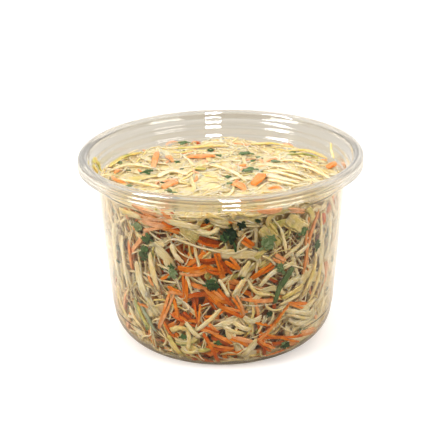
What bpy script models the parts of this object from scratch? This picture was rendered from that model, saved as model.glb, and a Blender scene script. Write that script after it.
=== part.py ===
"""Coleslaw in its round clear deli cup.

Metres, +Z up. The origin is the centre of the ring that the cup stands on. Two nodes: the cup, a thin
thermoformed shell turned about Z, and the coleslaw, one heap of shredded cabbage, carrot and parsley
that fills the cup to just under its neck.
"""

import math
import random

import bmesh
import bpy
import numpy as np
from mathutils import Vector

MM = 0.001

# The cup. Its wall is described by the middle of the sheet, and the sheet lies evenly round it.
SHEET = 0.6 * MM
RIM_RADIUS = 58.5 * MM
CUP_HEIGHT = 80.0 * MM
TURNED_SIDES = 44
FOOT_INNER = 30.5 * MM
FOOT_OUTER = 34.8 * MM
PANEL_RISE = 1.6 * MM  # the middle of the base is pushed up by this
CORNER_RADIUS = 12.0 * MM  # between the foot and the wall
CREASE_HEIGHT = 13.6 * MM  # a stacking crease runs round the cup here
CREASE_STEP = 0.5 * MM
WALL_TOP_RADIUS = 51.2 * MM
WALL_TOP_HEIGHT = 68.8 * MM
NECK_STEP = 1.0 * MM  # the neck is this much wider than the wall, for the lid's plug
NECK_FOOT_HEIGHT = 70.0 * MM
NECK_TOP_HEIGHT = 74.6 * MM
LIP_RADIUS = 1.8 * MM  # of the rolled lip, to the middle of the sheet
LIP_SKIRT = 3.0 * MM  # the straight part that the lip ends in
CORNER_STEPS = 6
LIP_STEPS = 6

# The coleslaw. The shreds lie on a core that is this much smaller than the cup's inside.
WALL_GAP = 0.42 * MM
RELIEF = 1.5 * MM
FILL_HEIGHT = 66.4 * MM
BUMP_HEIGHT = 1.0 * MM
CORE_SIDES = 26
CORE_RINGS = 3
SUNK = 0.5 * MM  # how far the back of a shred lies under the core's surface
SIDE_SHREDS = 80
TOP_SHREDS = 65
BASE_SHREDS = 10
SEED = 14
FLAT_ENOUGH = math.radians(2)  # faces that differ by less than this become one

# Kinds of shred: least and most length, width and thickness, and how strongly it bends, in radians.
CABBAGE = ((18 * MM, 36 * MM), (2.2 * MM, 4.4 * MM), (1.3 * MM, 1.8 * MM), 1.5)
CARROT = ((12 * MM, 26 * MM), (1.7 * MM, 2.4 * MM), (1.5 * MM, 2.0 * MM), 0.5)
PARSLEY_SIZE = (6.0 * MM, 10.0 * MM)
PARSLEY_THICKNESS = 1.2 * MM
PARSLEY_WAVE = 0.5 * MM
KINDS = ("cabbage", "carrot", "cabbage", "parsley", "cabbage", "carrot", "cabbage")
FLOOR = PANEL_RISE + SHEET + WALL_GAP
CORE_FLOOR = FLOOR + 1.1 * MM
INSETS = (0.0, 0.16 * MM, 0.08 * MM, 0.24 * MM, 0.12 * MM)  # keeps crossing shreds from lying in one face
GOLDEN_ANGLE = math.pi * (3 - math.sqrt(5))


def clear_scene():
    for obj in list(bpy.data.objects):
        bpy.data.objects.remove(obj, do_unlink=True)


def material(name, colour, roughness, alpha=1.0):
    made = bpy.data.materials.new(name)
    made.use_nodes = True
    shader = made.node_tree.nodes["Principled BSDF"]
    shader.inputs["Base Color"].default_value = (*colour, 1.0)
    shader.inputs["Roughness"].default_value = roughness
    shader.inputs["Alpha"].default_value = alpha
    return made


def arc(centre, radius, start, end, steps):
    """Points (r, z) of an arc, from start to end in degrees, with both ends."""
    turns = [math.radians(start + (end - start) * i / steps) for i in range(steps + 1)]
    return [(centre[0] + radius * math.cos(t), centre[1] + radius * math.sin(t)) for t in turns]


def cup_profile():
    """The middle of the cup's sheet as (r, z) points, from the centre of the base to the lip's edge."""
    half = SHEET / 2
    wall_foot = FOOT_OUTER + CORNER_RADIUS
    wall_top = WALL_TOP_RADIUS - half
    neck = wall_top + NECK_STEP
    lip_centre = (RIM_RADIUS - half - LIP_RADIUS, CUP_HEIGHT - half - LIP_RADIUS)
    lip_inner = lip_centre[0] - LIP_RADIUS
    base = [
        (0.0, half + PANEL_RISE),
        (FOOT_INNER - 2.6 * MM, half + PANEL_RISE),
        (FOOT_INNER - 0.9 * MM, half + 0.7 * PANEL_RISE),
        (FOOT_INNER, half),
    ]
    corner = arc((FOOT_OUTER, half + CORNER_RADIUS), CORNER_RADIUS, -90, 0, CORNER_STEPS)
    wall = [
        (wall_foot + 0.1 * MM, CREASE_HEIGHT),
        (wall_foot + CREASE_STEP, CREASE_HEIGHT + 1.5 * CREASE_STEP),
        (wall_top, WALL_TOP_HEIGHT),
        (neck, NECK_FOOT_HEIGHT),
        (neck + 0.3 * MM, NECK_TOP_HEIGHT),
        (neck + 1.0 * MM, NECK_TOP_HEIGHT + 1.0 * MM),
        (lip_inner - 0.3 * MM, NECK_TOP_HEIGHT + 1.9 * MM),
    ]
    lip = arc(lip_centre, LIP_RADIUS, 180, 0, LIP_STEPS)
    skirt = [(lip[-1][0], lip[-1][1] - LIP_SKIRT)]
    return base + corner + wall + lip + skirt


def turned(name, profile, sides):
    """An open surface of revolution about Z. A point on the axis becomes one vertex."""
    mesh = bpy.data.meshes.new(name)
    built = bmesh.new()
    rings = []
    for radius, height in profile:
        if radius == 0.0:
            rings.append([built.verts.new((0.0, 0.0, height))])
            continue
        turns = (2 * math.pi * i / sides for i in range(sides))
        rings.append([built.verts.new((radius * math.cos(t), radius * math.sin(t), height)) for t in turns])
    for lower, upper in zip(rings, rings[1:]):
        for i in range(sides):
            j = (i + 1) % sides
            corners = [lower[i % len(lower)], lower[j % len(lower)], upper[j % len(upper)], upper[i % len(upper)]]
            built.faces.new(list(dict.fromkeys(corners)))
    bmesh.ops.recalc_face_normals(built, faces=built.faces)
    built.to_mesh(mesh)
    built.free()
    obj = bpy.data.objects.new(name, mesh)
    bpy.context.scene.collection.objects.link(obj)
    return obj


def make_cup(finish):
    cup = turned("deli_cup", cup_profile(), TURNED_SIDES)
    sheet = cup.modifiers.new("sheet", "SOLIDIFY")
    sheet.thickness = SHEET
    sheet.offset = 0.0
    sheet.use_even_offset = True
    cup.data.materials.append(finish)
    cup.data.shade_smooth()
    return cup


def inside_radius(height):
    """The radius that the coleslaw may fill at a height: the cup's inside, less a gap."""
    heights, radii = [], []
    for radius, z in cup_profile()[5:]:
        if radius > RIM_RADIUS - 4 * MM:
            break
        radii.append(radius - SHEET / 2 - WALL_GAP)
        heights.append(z + SHEET / 2 * (1.0 if radius < FOOT_OUTER + CORNER_RADIUS else 0.0))
    return float(np.interp(height, heights, radii))


def kept_inside(point, inset):
    """The point, moved in where it would come nearer to the cup than the gap and the inset."""
    height = max(point.z, FLOOR + inset)
    reach = math.hypot(point.x, point.y)
    share = min(1.0, (inside_radius(height) - inset) / max(reach, MM))
    return Vector((point.x * share, point.y * share, height))


def uneven(x, y):
    """A soft unevenness between -1 and 1 over the plan of the heap."""
    waves = ((95, 40, 0.3), (-60, 120, 1.9), (170, -75, 4.1))
    return sum(math.sin(a * x + b * y + c) for a, b, c in waves) / len(waves)


def core_top(x, y):
    return FILL_HEIGHT + BUMP_HEIGHT * uneven(x, y)


def core_radius(height):
    return inside_radius(height) - RELIEF


def make_core():
    """The heap without its shreds: a closed turned body whose upper face is uneven."""
    heights = np.linspace(CREASE_HEIGHT, FILL_HEIGHT - 1.5 * MM, CORE_RINGS)
    low = [CORE_FLOOR, CORE_FLOOR + 3.0 * MM]
    profile = [(0.0, CORE_FLOOR)]
    profile += [(core_radius(z), z) for z in (*low, *heights)]
    edge = core_radius(FILL_HEIGHT)
    profile += [(edge * share, FILL_HEIGHT) for share in (0.96, 0.5)]
    profile += [(0.0, FILL_HEIGHT)]
    core = turned("coleslaw", profile, CORE_SIDES)
    for vertex in core.data.vertices:
        if vertex.co.z > FILL_HEIGHT - 0.5 * MM:
            vertex.co.z = core_top(vertex.co.x, vertex.co.y)
    return core


class Side:
    """The upright face of the core. A place on it is an angle and a height."""

    loft = 0.9 * MM

    def point(self, place, rise):
        angle, height = place
        radius = core_radius(height) + rise
        return Vector((radius * math.cos(angle), radius * math.sin(angle), height))

    def outward(self, place):
        return Vector((math.cos(place[0]), math.sin(place[0]), 0.0))

    def step(self, place, heading, length):
        angle, height = place
        return (angle + math.cos(heading) * length / core_radius(height), height + math.sin(heading) * length)

    def allows(self, place, spread):
        return FLOOR + 2.6 * MM + spread < place[1] < FILL_HEIGHT - 0.6 * MM - spread / 2


class Top:
    """The upper face of the core. A place on it is x and y."""

    loft = 2.2 * MM

    def point(self, place, rise):
        return Vector((place[0], place[1], core_top(*place) + rise))

    def outward(self, place):
        return Vector((0.0, 0.0, 1.0))

    def step(self, place, heading, length):
        return (place[0] + math.cos(heading) * length, place[1] + math.sin(heading) * length)

    def allows(self, place, spread):
        return math.hypot(*place) + spread < inside_radius(FILL_HEIGHT) - 0.4 * MM


class Base:
    """The face that the heap lies on. A place on it is x and y."""

    loft = 0.0

    def point(self, place, rise):
        return Vector((place[0], place[1], CORE_FLOOR - rise))

    def outward(self, place):
        return Vector((0.0, 0.0, -1.0))

    def step(self, place, heading, length):
        return (place[0] + math.cos(heading) * length, place[1] + math.sin(heading) * length)

    def allows(self, place, spread):
        return math.hypot(*place) + spread < core_radius(CORE_FLOOR) + RELIEF / 2


def walk(face, start, heading, length, bend, steps, spread):
    """Places along a bending path over a face, centred on start, or [] where too little of it fits."""
    halves = []
    for way in (1, -1):
        place, turn, half = start, heading if way > 0 else heading + math.pi, []
        for _ in range(steps // 2):
            place = face.step(place, turn, length / steps)
            turn += way * bend / steps
            if not face.allows(place, spread):
                break
            half.append(place)
        halves.append(half)
    path = halves[1][::-1] + [start] + halves[0]
    return path if len(path) > steps // 2 + 1 and face.allows(start, spread) else []


def strip_solid(name, rings, inset):
    """A closed bar through rings of four corners each, with both ends capped."""
    built = bmesh.new()
    loops = [[built.verts.new(kept_inside(corner, inset)) for corner in ring] for ring in rings]
    for first, second in zip(loops, loops[1:]):
        for i in range(4):
            j = (i + 1) % 4
            built.faces.new((first[i], first[j], second[j], second[i]))
    built.faces.new(loops[0][::-1])
    built.faces.new(loops[-1])
    bmesh.ops.recalc_face_normals(built, faces=built.faces)
    bmesh.ops.triangulate(built, faces=built.faces)
    mesh = bpy.data.meshes.new(name)
    built.to_mesh(mesh)
    built.free()
    return bpy.data.objects.new(name, mesh)


def shred(name, face, start, kind, inset, draw):
    """A shred of cabbage or carrot lying along a face, with its back sunk in the core."""
    lengths, widths, thicknesses, most_bend = kind
    width, thickness = draw.uniform(*widths), draw.uniform(*thicknesses)
    steps = 4 if kind is CABBAGE else 2
    path = walk(
        face,
        start,
        draw.uniform(0, 2 * math.pi),
        draw.uniform(*lengths),
        draw.uniform(-most_bend, most_bend),
        steps,
        width / 2,
    )
    if not path:
        return None
    tilt = draw.uniform(-1, 1) * face.loft
    rings = []
    for i, place in enumerate(path):
        last = min(i + 1, len(path) - 1)
        along = (face.point(path[last], 0) - face.point(path[last - 1], 0)).normalized()
        outward = face.outward(place)
        across = along.cross(outward).normalized()
        share = i / (len(path) - 1)
        lift = math.sin(math.pi * share) * face.loft + tilt * (share - 0.5)
        front = thickness - SUNK + lift
        taper = 0.62 if i in (0, len(path) - 1) else 1.0
        half = across * (width / 2 * taper)
        low, high = face.point(place, front - thickness), face.point(place, front)
        rings.append((low - half, low + half, high + half * 0.86, high - half * 0.86))
    return strip_solid(name, rings, inset)


def leaf(name, face, start, inset, draw):
    """A chopped piece of parsley: a thin wavy leaf, its two faces split into triangles alike."""
    size = draw.uniform(*PARSLEY_SIZE)
    if not face.allows(start, size / 2):
        return None
    heading = draw.uniform(0, 2 * math.pi)
    outline = [1.0, 0.66, 0.95, 0.6, 0.88, 0.58, 0.9]
    count = len(outline)
    built = bmesh.new()
    sides = []
    for rise in (-SUNK * 0.5, PARSLEY_THICKNESS - SUNK * 0.5):
        centre = built.verts.new(kept_inside(face.point(start, rise + 0.15 * MM), inset))
        ring = []
        for i, reach in enumerate(outline):
            place = face.step(start, heading + 2 * math.pi * i / count, reach * size / 2)
            wave = PARSLEY_WAVE * math.cos(6 * math.pi * i / count)
            ring.append(built.verts.new(kept_inside(face.point(place, rise + wave), inset)))
        sides.append((centre, ring))
    for centre, ring in sides:
        for i in range(count):
            built.faces.new((centre, ring[i], ring[(i + 1) % count]))
    (_, back), (_, front) = sides
    for i in range(count):
        j = (i + 1) % count
        built.faces.new((back[i], back[j], front[j]))
        built.faces.new((back[i], front[j], front[i]))
    bmesh.ops.recalc_face_normals(built, faces=built.faces)
    mesh = bpy.data.meshes.new(name)
    built.to_mesh(mesh)
    built.free()
    return bpy.data.objects.new(name, mesh)


def scatter(face, count, places, label, draw):
    """One piece at each place, of the kinds in turn. A piece that doesn't fit is skipped."""
    made = []
    for i, start in zip(range(count), places):
        kind = KINDS[i % len(KINDS)]
        name = f"{kind}_{label}_{i:03d}"
        inset = INSETS[i % len(INSETS)]
        if kind == "parsley":
            made.append(leaf(name, face, start, inset, draw))
        else:
            made.append(shred(name, face, start, CABBAGE if kind == "cabbage" else CARROT, inset, draw))
    return [piece for piece in made if piece]


def side_places(count):
    """Places spread evenly round the side, along a spiral that climbs by the golden angle."""
    low, high = CREASE_HEIGHT - 7 * MM, FILL_HEIGHT - 3 * MM
    for i in range(count):
        yield (i * GOLDEN_ANGLE, low + (high - low) * (i + 0.5) / count)


def flat_places(count, reach):
    """Places spread evenly over a disc, along a spiral that widens by the golden angle."""
    for i in range(count):
        radius = reach * math.sqrt((i + 0.5) / count)
        yield (radius * math.cos(i * GOLDEN_ANGLE), radius * math.sin(i * GOLDEN_ANGLE))


def clean_up(obj):
    """Keeps the largest body, which fills sealed hollows and drops scraps, with no needless corners."""
    built = bmesh.new()
    built.from_mesh(obj.data)
    left, bodies = set(built.faces), []
    while left:
        front, body = [left.pop()], []
        while front:
            face = front.pop()
            body.append(face)
            near = {other for edge in face.edges for other in edge.link_faces if other in left}
            left -= near
            front.extend(near)
        bodies.append(body)
    bodies.sort(key=len)
    for body in bodies[:-1]:
        bmesh.ops.delete(built, geom=body, context="FACES")
    bmesh.ops.dissolve_limit(built, angle_limit=FLAT_ENOUGH, verts=built.verts, edges=built.edges)
    bmesh.ops.triangulate(built, faces=built.faces)
    built.to_mesh(obj.data)
    built.free()


def fuse(core, pieces):
    """Joins the pieces to the core in one Boolean union, applied, and removes their objects."""
    heap = bpy.data.collections.new("shreds")
    bpy.context.scene.collection.children.link(heap)
    for piece in pieces:
        heap.objects.link(piece)
    union = core.modifiers.new("fuse", "BOOLEAN")
    union.operation = "UNION"
    union.operand_type = "COLLECTION"
    union.collection = heap
    union.solver = "MANIFOLD"
    bpy.context.view_layer.update()
    graph = bpy.context.evaluated_depsgraph_get()
    joined = bpy.data.meshes.new_from_object(core.evaluated_get(graph))
    core.modifiers.clear()
    core.data = joined
    for piece in pieces:
        bpy.data.objects.remove(piece, do_unlink=True)
    bpy.data.collections.remove(heap)
    clean_up(core)


def make_coleslaw(finish):
    draw = random.Random(SEED)
    core = make_core()
    pieces = scatter(Side(), SIDE_SHREDS, side_places(SIDE_SHREDS), "side", draw)
    top_reach = inside_radius(FILL_HEIGHT) - 3 * MM
    pieces += scatter(Top(), TOP_SHREDS, flat_places(TOP_SHREDS, top_reach), "top", draw)
    base_reach = core_radius(CORE_FLOOR) - 6 * MM
    pieces += scatter(Base(), BASE_SHREDS, flat_places(BASE_SHREDS, base_reach), "base", draw)
    fuse(core, pieces)
    core.data.materials.clear()
    core.data.materials.append(finish)
    return core


def main():
    clear_scene()
    clear_plastic = material("clear_plastic", (0.93, 0.92, 0.88), 0.06, alpha=0.35)
    dressed_salad = material("dressed_salad", (0.78, 0.66, 0.36), 0.35)
    make_cup(clear_plastic)
    make_coleslaw(dressed_salad)


main()
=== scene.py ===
"""Coleslaw in its round clear deli cup, dressed for its picture.

The cup is a turned shell of clear plastic. The coleslaw is a core under layers of shredded cabbage,
sticks of carrot and chopped parsley, which press against the inside of the cup. Lengths are in
millimetres until a mesh is made. An angle round the cup is 0 towards the camera and grows to the right.
"""

from math import atan2, ceil, cos, degrees, exp, inf, pi, radians, sin, sqrt

import bpy
import numpy as np
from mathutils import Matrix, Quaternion, Vector


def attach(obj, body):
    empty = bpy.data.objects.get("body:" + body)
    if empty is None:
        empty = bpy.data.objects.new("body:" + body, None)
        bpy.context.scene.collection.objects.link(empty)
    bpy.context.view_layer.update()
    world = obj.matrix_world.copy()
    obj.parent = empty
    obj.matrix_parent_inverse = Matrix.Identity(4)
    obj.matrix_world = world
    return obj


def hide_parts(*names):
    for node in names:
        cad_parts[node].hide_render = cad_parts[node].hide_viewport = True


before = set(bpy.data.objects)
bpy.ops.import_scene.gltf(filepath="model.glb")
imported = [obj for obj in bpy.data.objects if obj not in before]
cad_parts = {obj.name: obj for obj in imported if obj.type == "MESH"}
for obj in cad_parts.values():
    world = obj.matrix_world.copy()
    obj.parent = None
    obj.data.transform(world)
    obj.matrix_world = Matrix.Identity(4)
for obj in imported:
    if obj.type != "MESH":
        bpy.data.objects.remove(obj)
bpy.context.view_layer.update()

MM = 0.001
BAKE_MAP = "OFBake"

# The camera: a lens of 80.5 mm on a 36 mm sensor, and a picture of 447 x 447.
PICTURE_SIDE = 447
FOCAL_PIXELS = 1000.0
SENSOR = 36.0
CAMERA_DISTANCE = 423.8
CAMERA_ELEVATION = radians(22.51)
CAMERA_TARGET = np.array([0.73, 0.0, 46.28])
CAMERA_ROLL = radians(-0.935)

# The cup. Its shape is given by the middle of its sheet.
SHEET = 0.6
FOOT_INNER = 30.5
FOOT_OUTER = 34.8
PANEL_HEIGHT = 1.9
CORNER_RADIUS = 12.0
CORNER_STEPS = 20
WALL_FOOT = (47.3, 14.35)
WALL_TOP = (50.9, 68.8)
LIP_CENTRE = (56.4, 77.9)
LIP_RADIUS = 1.8
LIP_STEPS = 26
TURNED_SIDES = 200
ROUNDING = 0.55  # how far a bend in the sheet reaches
ROUNDING_STEPS = 5

# The coleslaw.
LEVEL = 67.0  # of its upper face
LEVEL_WAVE = 0.9
FRONT_CLIMB = 3.4  # how far the upper face climbs the wall in front
CLIMB_REACH = 7.0  # how far in from the wall it starts to climb
DRESSING_DEPTH = 0.15  # of the dressing between the topmost shreds, under the level
CORE_DEPTH = 4.6  # how far the core lies behind the cup's inside
SEED = 7
SHRED_RINGS = 14
THREAD_RINGS = 16
STICK_RINGS = 9
LEAF_RINGS = 9
THREAD_SHARE = 0.55  # of the shredded cabbage that is cut as fine as thread
WIDE = 3.4  # a shred wider than this is a piece of leaf, and keeps its width to its cut ends
PAINTED_VEIL_ANGLES = (0.6, 1.75)  # the cup's left and right, where the pieces are painted paler, a painted reflection of the bright studio on the sheet, in radians
THREAD_WIDTH = 1.35  # a shred narrower than this is laid as a thread
TOP_PRESS = 0.05  # how far a piece on the top may reach into the wall
UPRIGHT_AT = 1.45  # the angle, to either side, where shreds stand upright
TOP_CARROTS = 0.055  # the share of the pieces on the top that are carrot
CARROT_SHARE = 0.17  # and of those at the wall, but for some spots that have more of it, or less
# Each is: how much more, the degrees round the cup and how far to a side, the height and how far up or down.
CARROT_SPOTS = (
    (0.34, -6, 16, 34, 16), (0.24, 14, 30, 8, 7),
    (-0.13, -58, 26, 0, inf), (-0.12, 54, 28, 0, inf), (-0.14, 16, 26, 64, 10),
)
CUT_EDGE = radians(50)  # edges of a cut stick sharper than this stay crisp
UNROLLED = 48.0  # the radius that turns an angle round the wall into a length along it
GREEN_FROM = 0.36  # shreds from this shade on are counted as green cabbage

# Looks, with lengths in millimetres.
SHEET_ROUGHNESS = 0.03
PATCH = 6.25  # how far apart a piece's paler and darker patches lie
LUMP = 6.25  # the size of the lumps of soaked shreds in the core
DRESSED_FROM = 60.0  # the height from which the core is covered with dressing
FLESH_REDDENS = (1.0, 0.75, 0.45)  # how much further red light goes in flesh than green and blue

FLOOR_GAP = 0.02  # keeps the floor's face apart from the foot's
SIDE_LIGHT = 0.55  # how much brighter the studio is to the left and right than in front
FLOOR_GLOW = 0.12  # lifts the paper to pure white
CUP_MIDDLE = Vector((0, 0, 0.06))  # where the lamps point, in metres

UPWARD, BACKWARD = np.array((0.0, 0.0, 1.0)), np.array((0.0, 1.0, 0.0))
GOLDEN_TURN = pi * (3 - sqrt(5))  # from one seeded piece to the next, which spreads them evenly
DRAW = np.random.default_rng(SEED)
between, normal, chance, pick = DRAW.uniform, DRAW.normal, DRAW.random, DRAW.choice


# ---- helpers


def linear(code):
    """A colour such as "#e8dcb0", in sRGB, as linear red, green, blue and alpha."""
    parts = [int(code[i : i + 2], 16) / 255 for i in (1, 3, 5)]
    return (*(c / 12.92 if c <= 0.04045 else ((c + 0.055) / 1.055) ** 2.4 for c in parts), 1.0)


def unit(vectors):
    return vectors / (np.linalg.norm(vectors, axis=1)[:, None] + 1e-9)


def summed(steps):
    """How far along each point lies: nought, then the sum of the steps up to it."""
    return np.concatenate(([0.0], np.cumsum(steps)))


def steps_of(line):
    return np.linalg.norm(np.diff(line, axis=0), axis=1)


def spread(i, count, radius):
    """The x and y of one of the places that lie evenly over a round face."""
    reach, turn = radius * sqrt((i + 0.5) / count), i * GOLDEN_TURN
    return reach * sin(turn), -reach * cos(turn)


def feed(tree, fed, inputs):
    """Gives a node its inputs: each a value, a socket or a node, which gives its first output."""
    for label, source in inputs.items():
        if isinstance(source, bpy.types.Node):
            source = next(s for s in source.outputs if s.enabled)
        if isinstance(source, bpy.types.NodeSocket):
            tree.links.new(source, fed.inputs[label])
        else:
            fed.inputs[label].default_value = source


def node(tree, kind, inputs={}, stops=(), **settings):
    """Adds a shader node with its settings and inputs, and a ramp's (position, colour code) stops."""
    added = tree.nodes.new("ShaderNode" + kind)
    for key, value in settings.items():
        setattr(added, key, value)
    feed(tree, added, inputs)
    bands = added.color_ramp.elements if stops else ()
    while len(bands) < len(stops):
        bands.new(0.5)
    for band, (position, code) in zip(bands, stops):
        band.position, band.color = position, linear(code)
    return added


def turned_mesh(name, line, sides):
    """A surface of revolution about Z through (r, z) points. A point on the axis is one vertex."""
    turns = np.arange(sides) * 2 * pi / sides
    rows, points, faces = [], [], []
    for radius, height in line:
        count = 1 if radius < 1e-6 else sides
        rows.append([len(points) + i % count for i in range(sides)])
        points += [(radius * sin(t) * MM, -radius * cos(t) * MM, height * MM) for t in turns[:count]]
    for lower, upper in zip(rows, rows[1:]):
        for i in range(sides):
            j = (i + 1) % sides
            ring = dict.fromkeys((lower[i], lower[j], upper[j], upper[i]))
            if len(ring) > 2:
                faces.append(list(ring))
    mesh = bpy.data.meshes.new(name)
    mesh.from_pydata(points, [], faces)
    return mesh


def put(name, data):
    made = bpy.data.objects.new(name, data)
    bpy.context.scene.collection.objects.link(made)
    return made


def aimed(name, data, spot, turn):
    made = put(name, data)
    made.location, made.rotation_mode, made.rotation_quaternion = spot, "QUATERNION", turn
    return made


def placed(name, mesh, finish):
    mesh.materials.append(finish)
    mesh.shade_smooth()
    return put(name, mesh)


# ---- the cup's shape


def arc(centre, radius, start, end, steps):
    turns = np.radians(np.linspace(start, end, steps + 1))
    return [(centre[0] + radius * cos(t), centre[1] + radius * sin(t)) for t in turns]


def sheet_line():
    """The middle of the cup's sheet, from the centre of the base to the edge of the lip's skirt."""
    half = SHEET / 2
    base = [(r, PANEL_HEIGHT) for r in (0.0, 12.0, 27.9)] + [(29.6, 1.42), (FOOT_INNER, half)]
    corner = arc((FOOT_OUTER, half + CORNER_RADIUS), CORNER_RADIUS, -90, 0, CORNER_STEPS)
    wall = [(46.9, 13.6), WALL_FOOT, (48.2, 28.0), (49.1, 41.5), (50.0, 55.2), WALL_TOP]
    neck = [(51.5, 69.6), (51.62, 72.6), (52.25, 73.4), (52.4, 74.9), (53.0, 75.8), (54.2, 76.6)]
    lip = arc(LIP_CENTRE, LIP_RADIUS, 176, 4, LIP_STEPS)
    skirt = [(57.75, 77.5), (58.2, 76.8), (58.2, 76.2), (57.85, 75.8), (58.2, 75.2), (58.2, 74.9)]
    return base + corner + wall + neck + lip + skirt


def rounded_off(line):
    """The line with each of its bends drawn as a short curve."""
    points = [np.array(p) for p in line]
    out = [points[0]]
    for before, here, after in zip(points, points[1:], points[2:]):
        back, on = before - here, after - here
        back *= min(ROUNDING, np.linalg.norm(back) * 0.45) / np.linalg.norm(back)
        on *= min(ROUNDING, np.linalg.norm(on) * 0.45) / np.linalg.norm(on)
        t = np.linspace(0, 1, ROUNDING_STEPS if np.linalg.norm(back + on) > 0.05 else 2)[:, None]
        out.extend(here + back * (1 - t) ** 2 + on * t**2)
    return np.array(out + [points[-1]])


def sides_of_sheet(line):
    """The sheet's inner and outer face, half a sheet to either side of its middle."""
    ahead = unit(np.gradient(line, axis=0))
    inward = np.stack((-ahead[:, 1], ahead[:, 0]), axis=1)
    inner, outer = line + inward * SHEET / 2, line - inward * SHEET / 2
    for face in (inner, outer):
        face[0, 0] = 0.0
    return inner, outer


MIDDLE = rounded_off(sheet_line())
INSIDE, OUTSIDE = sides_of_sheet(MIDDLE)

# The part of the inside that the coleslaw leans on: from the outer edge of the foot up to the neck.
_radius, _height = MIDDLE.T
WALL = INSIDE[(_radius >= FOOT_OUTER - 0.01) & (_height < 75.5) & (_radius < 53.2)]
WALL_RUN = summed(steps_of(WALL))
_along_wall = np.gradient(WALL, axis=0)
WALL_FACING = unit(np.stack((_along_wall[:, 1], -_along_wall[:, 0]), axis=1))
FLOOR = INSIDE[(_radius < FOOT_OUTER + 0.01) & (_height < 3.0)]


def run_at(height):
    """How far up the wall a height lies, measured along the inside."""
    return np.interp(height, WALL[:, 1], WALL_RUN)


def at_wall(angle, run, depth):
    """Points at that depth behind the inside of the wall, and the ways out of the cup there."""
    columns = (*WALL.T, *WALL_FACING.T)
    radius, height, out_r, out_z = (np.interp(run, WALL_RUN, column) for column in columns)
    radius, height = radius - depth * out_r, height - depth * out_z
    points = np.stack((radius * np.sin(angle), -radius * np.cos(angle), height), axis=-1)
    facing = np.stack((out_r * np.sin(angle), -out_r * np.cos(angle), out_z), axis=-1)
    return points, facing


def inside_radius(height):
    return np.interp(height, WALL[:, 1], WALL[:, 0])


def kept_in_cup(points, press):
    """The points, moved back to where they reach no further than press into the cup's sheet."""
    x, y, z = np.moveaxis(points, -1, 0)
    radius = np.hypot(x, y) + 1e-9
    z = np.where(radius < FOOT_OUTER, np.maximum(z, np.interp(radius, *FLOOR.T) - press), z)
    centre = SHEET / 2 + CORNER_RADIUS  # of the rounded corner round the foot
    reach = np.hypot(radius - FOOT_OUTER, z - centre) + 1e-9
    shrink = np.minimum(1.0, (CORNER_RADIUS - SHEET / 2 + press) / reach)
    low = (radius >= FOOT_OUTER) & (z < centre)
    new_radius = np.where(low, FOOT_OUTER + (radius - FOOT_OUTER) * shrink, radius)
    z = np.where(low, centre + (z - centre) * shrink, z)
    new_radius = np.where(z >= centre, np.minimum(new_radius, inside_radius(z) + press), new_radius)
    share = new_radius / radius
    return np.stack((x * share, y * share, z), axis=-1)


def level(x, y):
    """The height of the coleslaw's uneven upper face."""
    waves = ((0.095, 0.040, 0.3), (-0.060, 0.120, 1.9), (0.170, -0.075, 4.1), (0.05, 0.21, 2.2))
    radius = np.hypot(x, y) + 1e-9
    in_front = np.clip(-y / radius, 0.0, 1.0) ** 1.5
    inward = np.maximum(WALL_TOP[0] - radius, 0.0) / CLIMB_REACH
    climb = FRONT_CLIMB * in_front * np.exp(-(inward**2))
    return LEVEL + climb + LEVEL_WAVE * sum(np.sin(a * x + b * y + c) for a, b, c in waves) / 2


# ---- from the picture to the cup

_toward = np.array([0.0, cos(CAMERA_ELEVATION), -sin(CAMERA_ELEVATION)])
EYE = CAMERA_TARGET - CAMERA_DISTANCE * _toward
_right = np.array([1.0, 0.0, 0.0])
_up = np.cross(_right, _toward)
SIGHT = np.arange(300.0, 520.0, 0.1)  # distances from the eye at which a sight line is tried


def sight_line(pixel):
    """Points along the line of sight through a pixel of the picture."""
    dx, dy = (p - PICTURE_SIDE / 2 for p in pixel)
    turn_c, turn_s = cos(CAMERA_ROLL), sin(CAMERA_ROLL)
    across, down = turn_c * dx + turn_s * dy, -turn_s * dx + turn_c * dy
    along = _toward * FOCAL_PIXELS + _right * across - _up * down
    return EYE + SIGHT[:, None] * along / np.linalg.norm(along)


def seen_at_wall(pixel, back=False):
    """The angle and run of the place on the wall that a pixel shows, in front or at the back."""
    line = sight_line(pixel)
    radius = np.hypot(line[:, 0], line[:, 1])
    inner = np.flatnonzero(radius <= inside_radius(line[:, 2]))
    x, y, z = line[inner[-1 if back else 0] if len(inner) else np.argmin(radius)]
    return atan2(x, -y), float(run_at(max(z, 0.7)))


def seen_on_top(pixel):
    """The x and y of the place on the coleslaw's upper face that a pixel shows."""
    line = sight_line(pixel)
    above = np.flatnonzero(line[:, 2] > level(line[:, 0], line[:, 1]))
    return tuple(line[above[-1], :2])


# ---- shreds, sticks and leaves

BROAD = np.array(((1, 0.4), (0.72, 1), (0, 1.08), (-0.72, 1), (-1, 0.4), (-0.8, -0.9), (0, -1), (0.8, -0.9)))
LEAF_LOBES = np.array((0.10, 0.35, 0.85, 0.50, 1.0, 0.55, 0.90, 0.40, 0.08))
LEAF_THICKNESS = 0.3
FINE = np.array(((1, 0.0), (0.0, 1.0), (-1, 0.0), (0.0, -1.0)))
SQUARE = np.array(((1, 0.0), (0.86, 0.9), (-0.86, 0.9), (-1, 0.0), (-0.86, -0.9), (0.86, -0.9)))


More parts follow.
